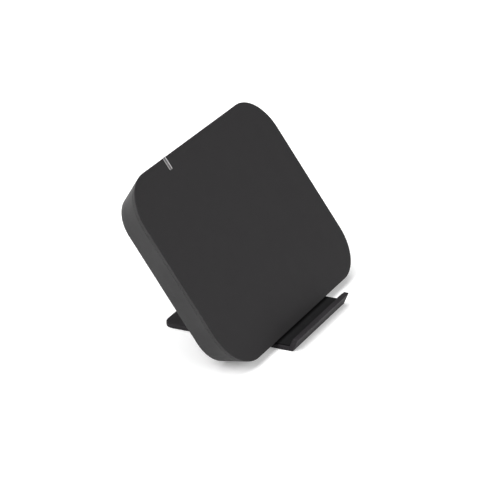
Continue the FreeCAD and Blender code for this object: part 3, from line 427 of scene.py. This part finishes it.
def ring_faces(start, rings, around, closed=False):
    """Quads between rings of points, which either close into a loop or get a cap at each end."""
    faces = []
    for ring in range(rings if closed else rings - 1):
        for step in range(around):
            near, far = start + ring * around, start + (ring + 1) % rings * around
            after = (step + 1) % around
            faces.append((near + step, near + after, far + after, far + step))
    if not closed:
        last = start + (rings - 1) * around
        faces.append(tuple(range(start + around - 1, start - 1, -1)))
        faces.append(tuple(range(last, last + around)))
    return faces


def wire_points(stations, wire, around):
    """Rings of points round the stations of a wire, each a centre and the outward direction there."""
    points = []
    for centre, outward in stations:
        for step in range(around):
            out, up = on_circle(step, around)
            points.append(centre + outward * wire * out + Vector((0, 0, wire * up)))
    return points


# The moulded feet. Their rim's rounding is in millimetres, as inset and depth. A groove's curve is in
# millimetres from its middle, and in shares of its depth.
FOOT_RADIUS, FOOT_THICK = 4.5 * MM, 1.1 * MM
FOOT_RIM = ((0.0, 0.30), (0.04, 0.15), (0.15, 0.05), (0.32, 0.0))
GROOVE_RADII, GROOVE_DEEP = (3.1, 1.5), 0.16 * MM
GROOVE_CURVE = ((0.22, 0), (0.12, 0.7), (0, 1), (-0.12, 0.7), (-0.22, 0))


def make_rubber_feet():
    """Four moulded feet, each with two grip grooves and a soft rim."""
    around = 72
    low, high = pad_box("back_feet")
    profile = [(FOOT_RADIUS, 0.0)]
    profile += [(FOOT_RADIUS - inset * MM, FOOT_THICK - depth * MM) for inset, depth in FOOT_RIM]
    profile += [((middle + step) * MM, FOOT_THICK - depth * GROOVE_DEEP)
                for middle in GROOVE_RADII for step, depth in GROOVE_CURVE]
    points, faces = [], []
    for across in (low.x + FOOT_RADIUS, high.x - FOOT_RADIUS):
        for up in (low.y + FOOT_RADIUS, high.y - FOOT_RADIUS):
            start = len(points)
            for reach, out in profile:
                for step in range(around):
                    cosine, sine = on_circle(step, around)
                    points.append((across + reach * cosine, up + reach * sine, low.z + FOOT_THICK - out))
            faces += ring_faces(start, len(profile), around)
    piece = make_piece("rubber_feet", points, flipped(faces), "pad", "black_rubber", PAD_FRAME)
    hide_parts("back_feet")


# The coil: its bore, and how far apart its turns are and how thick its wire is, as shares of a layer.
COIL_BORE = 10.0 * MM
COIL_PITCH, COIL_WIRE = 1.02, 0.97


def make_wound_coil():
    """The charging coil as two layers of round enamelled wire, each wound in a flat spiral."""
    low, high = pad_box("charging_coil")
    middle = (low + high) / 2
    layer = (high.z - low.z) / 2
    wire = layer / 2 * COIL_WIRE
    outer = (high.x - low.x) / 2 - wire
    inner = COIL_BORE + wire
    pitch = layer * COIL_PITCH
    turns = math.floor((outer - inner) / pitch)
    steps, around = 120, 8
    rings = turns * steps + 1
    points, faces = [], []
    for side in (-1, 1):
        stations = []
        for ring in range(rings):
            outward = Vector((*on_circle(ring * side, steps), 0))
            level = middle + Vector((0, 0, side * layer / 2))
            stations.append((level + outward * (inner + pitch * ring / steps), outward))
        made = ring_faces(len(points), rings, around)
        points += wire_points(stations, wire, around)
        faces += made if side < 0 else flipped(made)
    piece = make_piece("wound_coil", points, faces, "pad", "copper_wire", PAD_FRAME)
    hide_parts("charging_coil")


def add_block(builder, low, high, bevel):
    """Add a block with rounded edges to a bmesh."""
    spread = Matrix.Translation((low + high) / 2) @ Matrix.Diagonal((*(high - low), 1))
    corners = bmesh.ops.create_cube(builder, size=1, matrix=spread)["verts"]
    edges = list({edge for corner in corners for edge in corner.link_edges})
    bmesh.ops.bevel(builder, geom=edges, offset=bevel, segments=2, profile=0.5, affect="EDGES")


def make_blocks(name, boxes, bevel, slot):
    """One piece of many small blocks with rounded edges, placed in the pad's frame."""
    builder = bmesh.new()
    for low, high in boxes:
        add_block(builder, Vector(low), Vector(high), bevel)
    builder.transform(PAD_FRAME)
    mesh = bpy.data.meshes.new(name)
    builder.to_mesh(mesh)
    builder.free()
    return finish_piece(name, mesh, "pad", slot)


# How far plating stands proud, how far a capacitor's ends reach, and how tall a chip's contacts are.
PLATING = 0.04 * MM
END_REACH = 0.45 * MM
CONTACT_TALL = 0.2 * MM


def make_capacitor_ends():
    """Tinned ends of the capacitors."""
    ends = []
    for low, high in pad_rows("resonant_capacitors", 0):
        for start, end in ((low.x - PLATING, low.x + END_REACH), (high.x - END_REACH, high.x + PLATING)):
            ends.append(((start, low.y - PLATING, low.z), (end, high.y + PLATING, high.z + PLATING)))
    make_blocks("capacitor_terminals", ends, 0.02 * MM, "socket_steel")


def make_chip_contacts():
    """Contacts along two sides of each transistor, and along all four sides of the control chip."""
    proud = PLATING * 2
    contacts = []
    for node, count, pitch in (("control_chip", 8, 0.5 * MM), ("power_transistors", 4, 0.65 * MM)):
        for low, high in pad_rows(node, 1):
            middle = (low + high) / 2
            foot, top = low.z, low.z + CONTACT_TALL
            for index in range(count):
                step = (index - (count - 1) / 2) * pitch
                start, end = step - pitch * 0.25, step + pitch * 0.25
                for face in (low.x, high.x):
                    contacts.append(((face - proud, middle.y + start, foot),
                                     (face + proud, middle.y + end, top)))
                if node == "control_chip":
                    for face in (low.y, high.y):
                        contacts.append(((middle.x + start, face - proud, foot),
                                         (middle.x + end, face + proud, top)))
    make_blocks("chip_contacts", contacts, 0.01 * MM, "socket_steel")


def make_tongue_contacts():
    """Two rows of contacts along the tongue of the inlet."""
    count, pitch, half_wide = 12, 0.5 * MM, 0.13 * MM
    back, tip, row = 2.6 * MM, 0.4 * MM, 0.35 * MM
    low, high = pad_box("usb_tongue")
    middle = (low + high) / 2
    fingers = []
    for index in range(count):
        step = middle.y + (index - (count - 1) / 2) * pitch
        for face in (-row, row):
            fingers.append(((low.x + back, step - half_wide, middle.z + face - PLATING),
                            (high.x - tip, step + half_wide, middle.z + face + PLATING)))
    make_blocks("tongue_contacts", fingers, 0.01 * MM, "socket_steel")


# The drum: its lower and upper flange, and the radius and turns of its winding.
DRUM_FOOT, DRUM_CAP = 0.7 * MM, 0.6 * MM
WINDING_RADIUS, WINDING_TURNS = 2.55 * MM, 4


def make_wound_inductor():
    """The filter inductor as a ferrite drum between two square flanges, wound with copper."""
    low, high = pad_box("filter_inductor")
    middle = (low + high) / 2
    flanges = [(low, (high.x, high.y, low.z + DRUM_FOOT)), ((low.x, low.y, high.z - DRUM_CAP), high)]
    drum = make_blocks("inductor_drum", flanges, 0.18 * MM, "ferrite")
    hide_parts("filter_inductor")
    rings, around = 64, 8
    wire = (high.z - low.z - DRUM_FOOT - DRUM_CAP) / WINDING_TURNS / 2
    points, faces = [], []
    for turn in range(WINDING_TURNS):
        centre = Vector((middle.x, middle.y, low.z + DRUM_FOOT + wire * (2 * turn + 1)))
        outwards = [Vector((*on_circle(ring, rings), 0)) for ring in range(rings)]
        stations = [(centre + outward * (WINDING_RADIUS - wire), outward) for outward in outwards]
        faces += flipped(ring_faces(len(points), rings, around, closed=True))
        points += wire_points(stations, wire, around)
    make_piece("inductor_winding", points, faces, "pad", "copper_wire", PAD_FRAME)


def rounded_outline(low, high, radius, steps=12):
    """Points of a rounded rectangle, anticlockwise."""
    centres = ((high.x - radius, high.y - radius), (low.x + radius, high.y - radius),
               (low.x + radius, low.y + radius), (high.x - radius, low.y + radius))
    outline = []
    for corner, (across, along) in enumerate(centres):
        for step in range(steps + 1):
            angle = math.pi / 2 * (corner + step / steps)
            outline.append((across + radius * math.cos(angle), along + radius * math.sin(angle)))
    return outline


# The sole: its corner radius, its grooves, and the plain border round them.
SOLE_CORNER = 2.5 * MM
SOLE_GROOVE_WIDE, SOLE_GROOVE_DEEP, SOLE_PITCH, SOLE_BORDER = 0.6 * MM, 0.25 * MM, 1.8 * MM, 2.6 * MM
BOX_FACES = ((3, 2, 1, 0), (4, 5, 6, 7), (0, 1, 5, 4), (1, 2, 6, 5), (2, 3, 7, 6), (3, 0, 4, 7))


def make_groove_cutter(low, high):
    """Bars that cut the grooves across the sole's lower face."""
    left, right = low.x + SOLE_BORDER, high.x - SOLE_BORDER
    half = SOLE_GROOVE_WIDE / 2
    points, faces = [], []
    for index in range(math.floor((high.y - low.y - 2 * SOLE_BORDER) / SOLE_PITCH) + 1):
        middle = low.y + SOLE_BORDER + index * SOLE_PITCH
        faces += [tuple(len(points) + corner for corner in face) for face in BOX_FACES]
        for level in (low.z - SOLE_GROOVE_DEEP, low.z + SOLE_GROOVE_DEEP):
            points += [(left, middle - half, level), (right, middle - half, level),
                       (right, middle + half, level), (left, middle + half, level)]
    mesh = bpy.data.meshes.new("groove_cutter")
    mesh.from_pydata(points, [], faces)
    cutter = bpy.data.objects.new("groove_cutter", mesh)
    bpy.context.scene.collection.objects.link(cutter)
    return cutter


def make_grip_sole():
    """The silicone sheet under the foot, with fine cross grooves moulded in its lower face."""
    low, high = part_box("foot_pad")
    outline = rounded_outline(low, high, SOLE_CORNER)
    count = len(outline)
    points = [(across, along, level) for level in (low.z, high.z) for across, along in outline]
    faces = [tuple(range(count - 1, -1, -1)), tuple(range(count, 2 * count))]
    for step in range(count):
        after = (step + 1) % count
        faces.append((step, after, count + after, count + step))
    sole = make_piece("grip_sole", points, faces, "foot", "black_rubber")
    cutter = make_groove_cutter(low, high)
    carve = sole.modifiers.new("grooves", "BOOLEAN")
    carve.operation, carve.solver, carve.object = "DIFFERENCE", "EXACT", cutter
    shaped = sole.evaluated_get(bpy.context.evaluated_depsgraph_get())
    carved = bpy.data.meshes.new_from_object(shaped)
    sole.modifiers.clear()
    sole.data = carved
    bpy.data.objects.remove(cutter)
    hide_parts("foot_pad")


make_rubber_feet()
make_wound_coil()
make_grip_sole()
make_capacitor_ends()
make_chip_contacts()
make_tongue_contacts()
make_wound_inductor()


# Floor, light and camera -------------------------------------------------------------------------

FLOOR_RADIUS = 6.0
# An overexposed studio floor: its own faint light thins out the shadows.
FLOOR_GLOW = 0.24
ROOM_LIGHT = 0.22

# Each light's name, place, width, height and power in watts. All of them face LIT_POINT.
LIT_POINT = (0, 0, 0.02)
SOFTBOXES = (
    ("key_light", (-1.5, 0.5, 1.4), 1.4, 1.4, 32),
    ("top_light", (0.1, 0.5, 1.9), 2.2, 2.2, 34),
    ("front_fill", (0.4, -1.8, 0.9), 1.6, 1.0, 20),
)

LENS_MM, SENSOR_MM = 196.89, 36
CAMERA_PLACE = (-0.754163, -0.376201, 0.393629)
# In degrees, about x, y and z.
CAMERA_TURN = (66.3039, 1.1239, -64.0074)


def make_floor():
    """A pale matt floor, faintly mottled."""
    bpy.ops.mesh.primitive_circle_add(vertices=128, radius=FLOOR_RADIUS, fill_type="NGON")
    floor = bpy.context.object
    floor.name = "floor"
    made = Finish("floor_paint", Roughness=0.9, Specular_IOR_Level=0.1, Emission_Color=(1, 1, 1, 1),
                  Emission_Strength=FLOOR_GLOW)
    tone = made.ramp(made.noise(0.4, 2.0), 0.3, 0.7)
    colour = made.mix(tone, (0.90, 0.90, 0.90), (0.91, 0.91, 0.91))
    floor.data.materials.append(made.wear(Base_Color=colour))


def make_softbox(name, place, wide, high, watts):
    """A rectangular soft light that faces the stand."""
    light = bpy.data.lights.new(name, "AREA")
    light.shape = "RECTANGLE"
    light.size, light.size_y, light.energy = wide, high, watts
    holder = bpy.data.objects.new(name, light)
    bpy.context.scene.collection.objects.link(holder)
    holder.location = place
    holder.rotation_euler = (Vector(LIT_POINT) - Vector(place)).to_track_quat("-Z", "Y").to_euler()


def make_studio():
    """Soft light from the left, above and in front, in a pale room."""
    for softbox in SOFTBOXES:
        make_softbox(*softbox)
    world = bpy.data.worlds.new("room")
    world.use_nodes = True
    room = world.node_tree.nodes["Background"].inputs
    room["Color"].default_value = (1, 1, 1, 1)
    room["Strength"].default_value = ROOM_LIGHT
    scene = bpy.context.scene
    scene.world = world
    scene.view_settings.view_transform = "Standard"


def make_camera():
    """A long lens, high on the left and in front."""
    lens = bpy.data.cameras.new("camera")
    lens.lens, lens.sensor_width = LENS_MM, SENSOR_MM
    lens.clip_start, lens.clip_end = 0.05, 30
    camera = bpy.data.objects.new("camera", lens)
    bpy.context.scene.collection.objects.link(camera)
    camera.location = CAMERA_PLACE
    camera.rotation_euler = Euler([math.radians(turn) for turn in CAMERA_TURN], "XYZ")
    bpy.context.scene.camera = camera


make_floor()
make_studio()
make_camera()
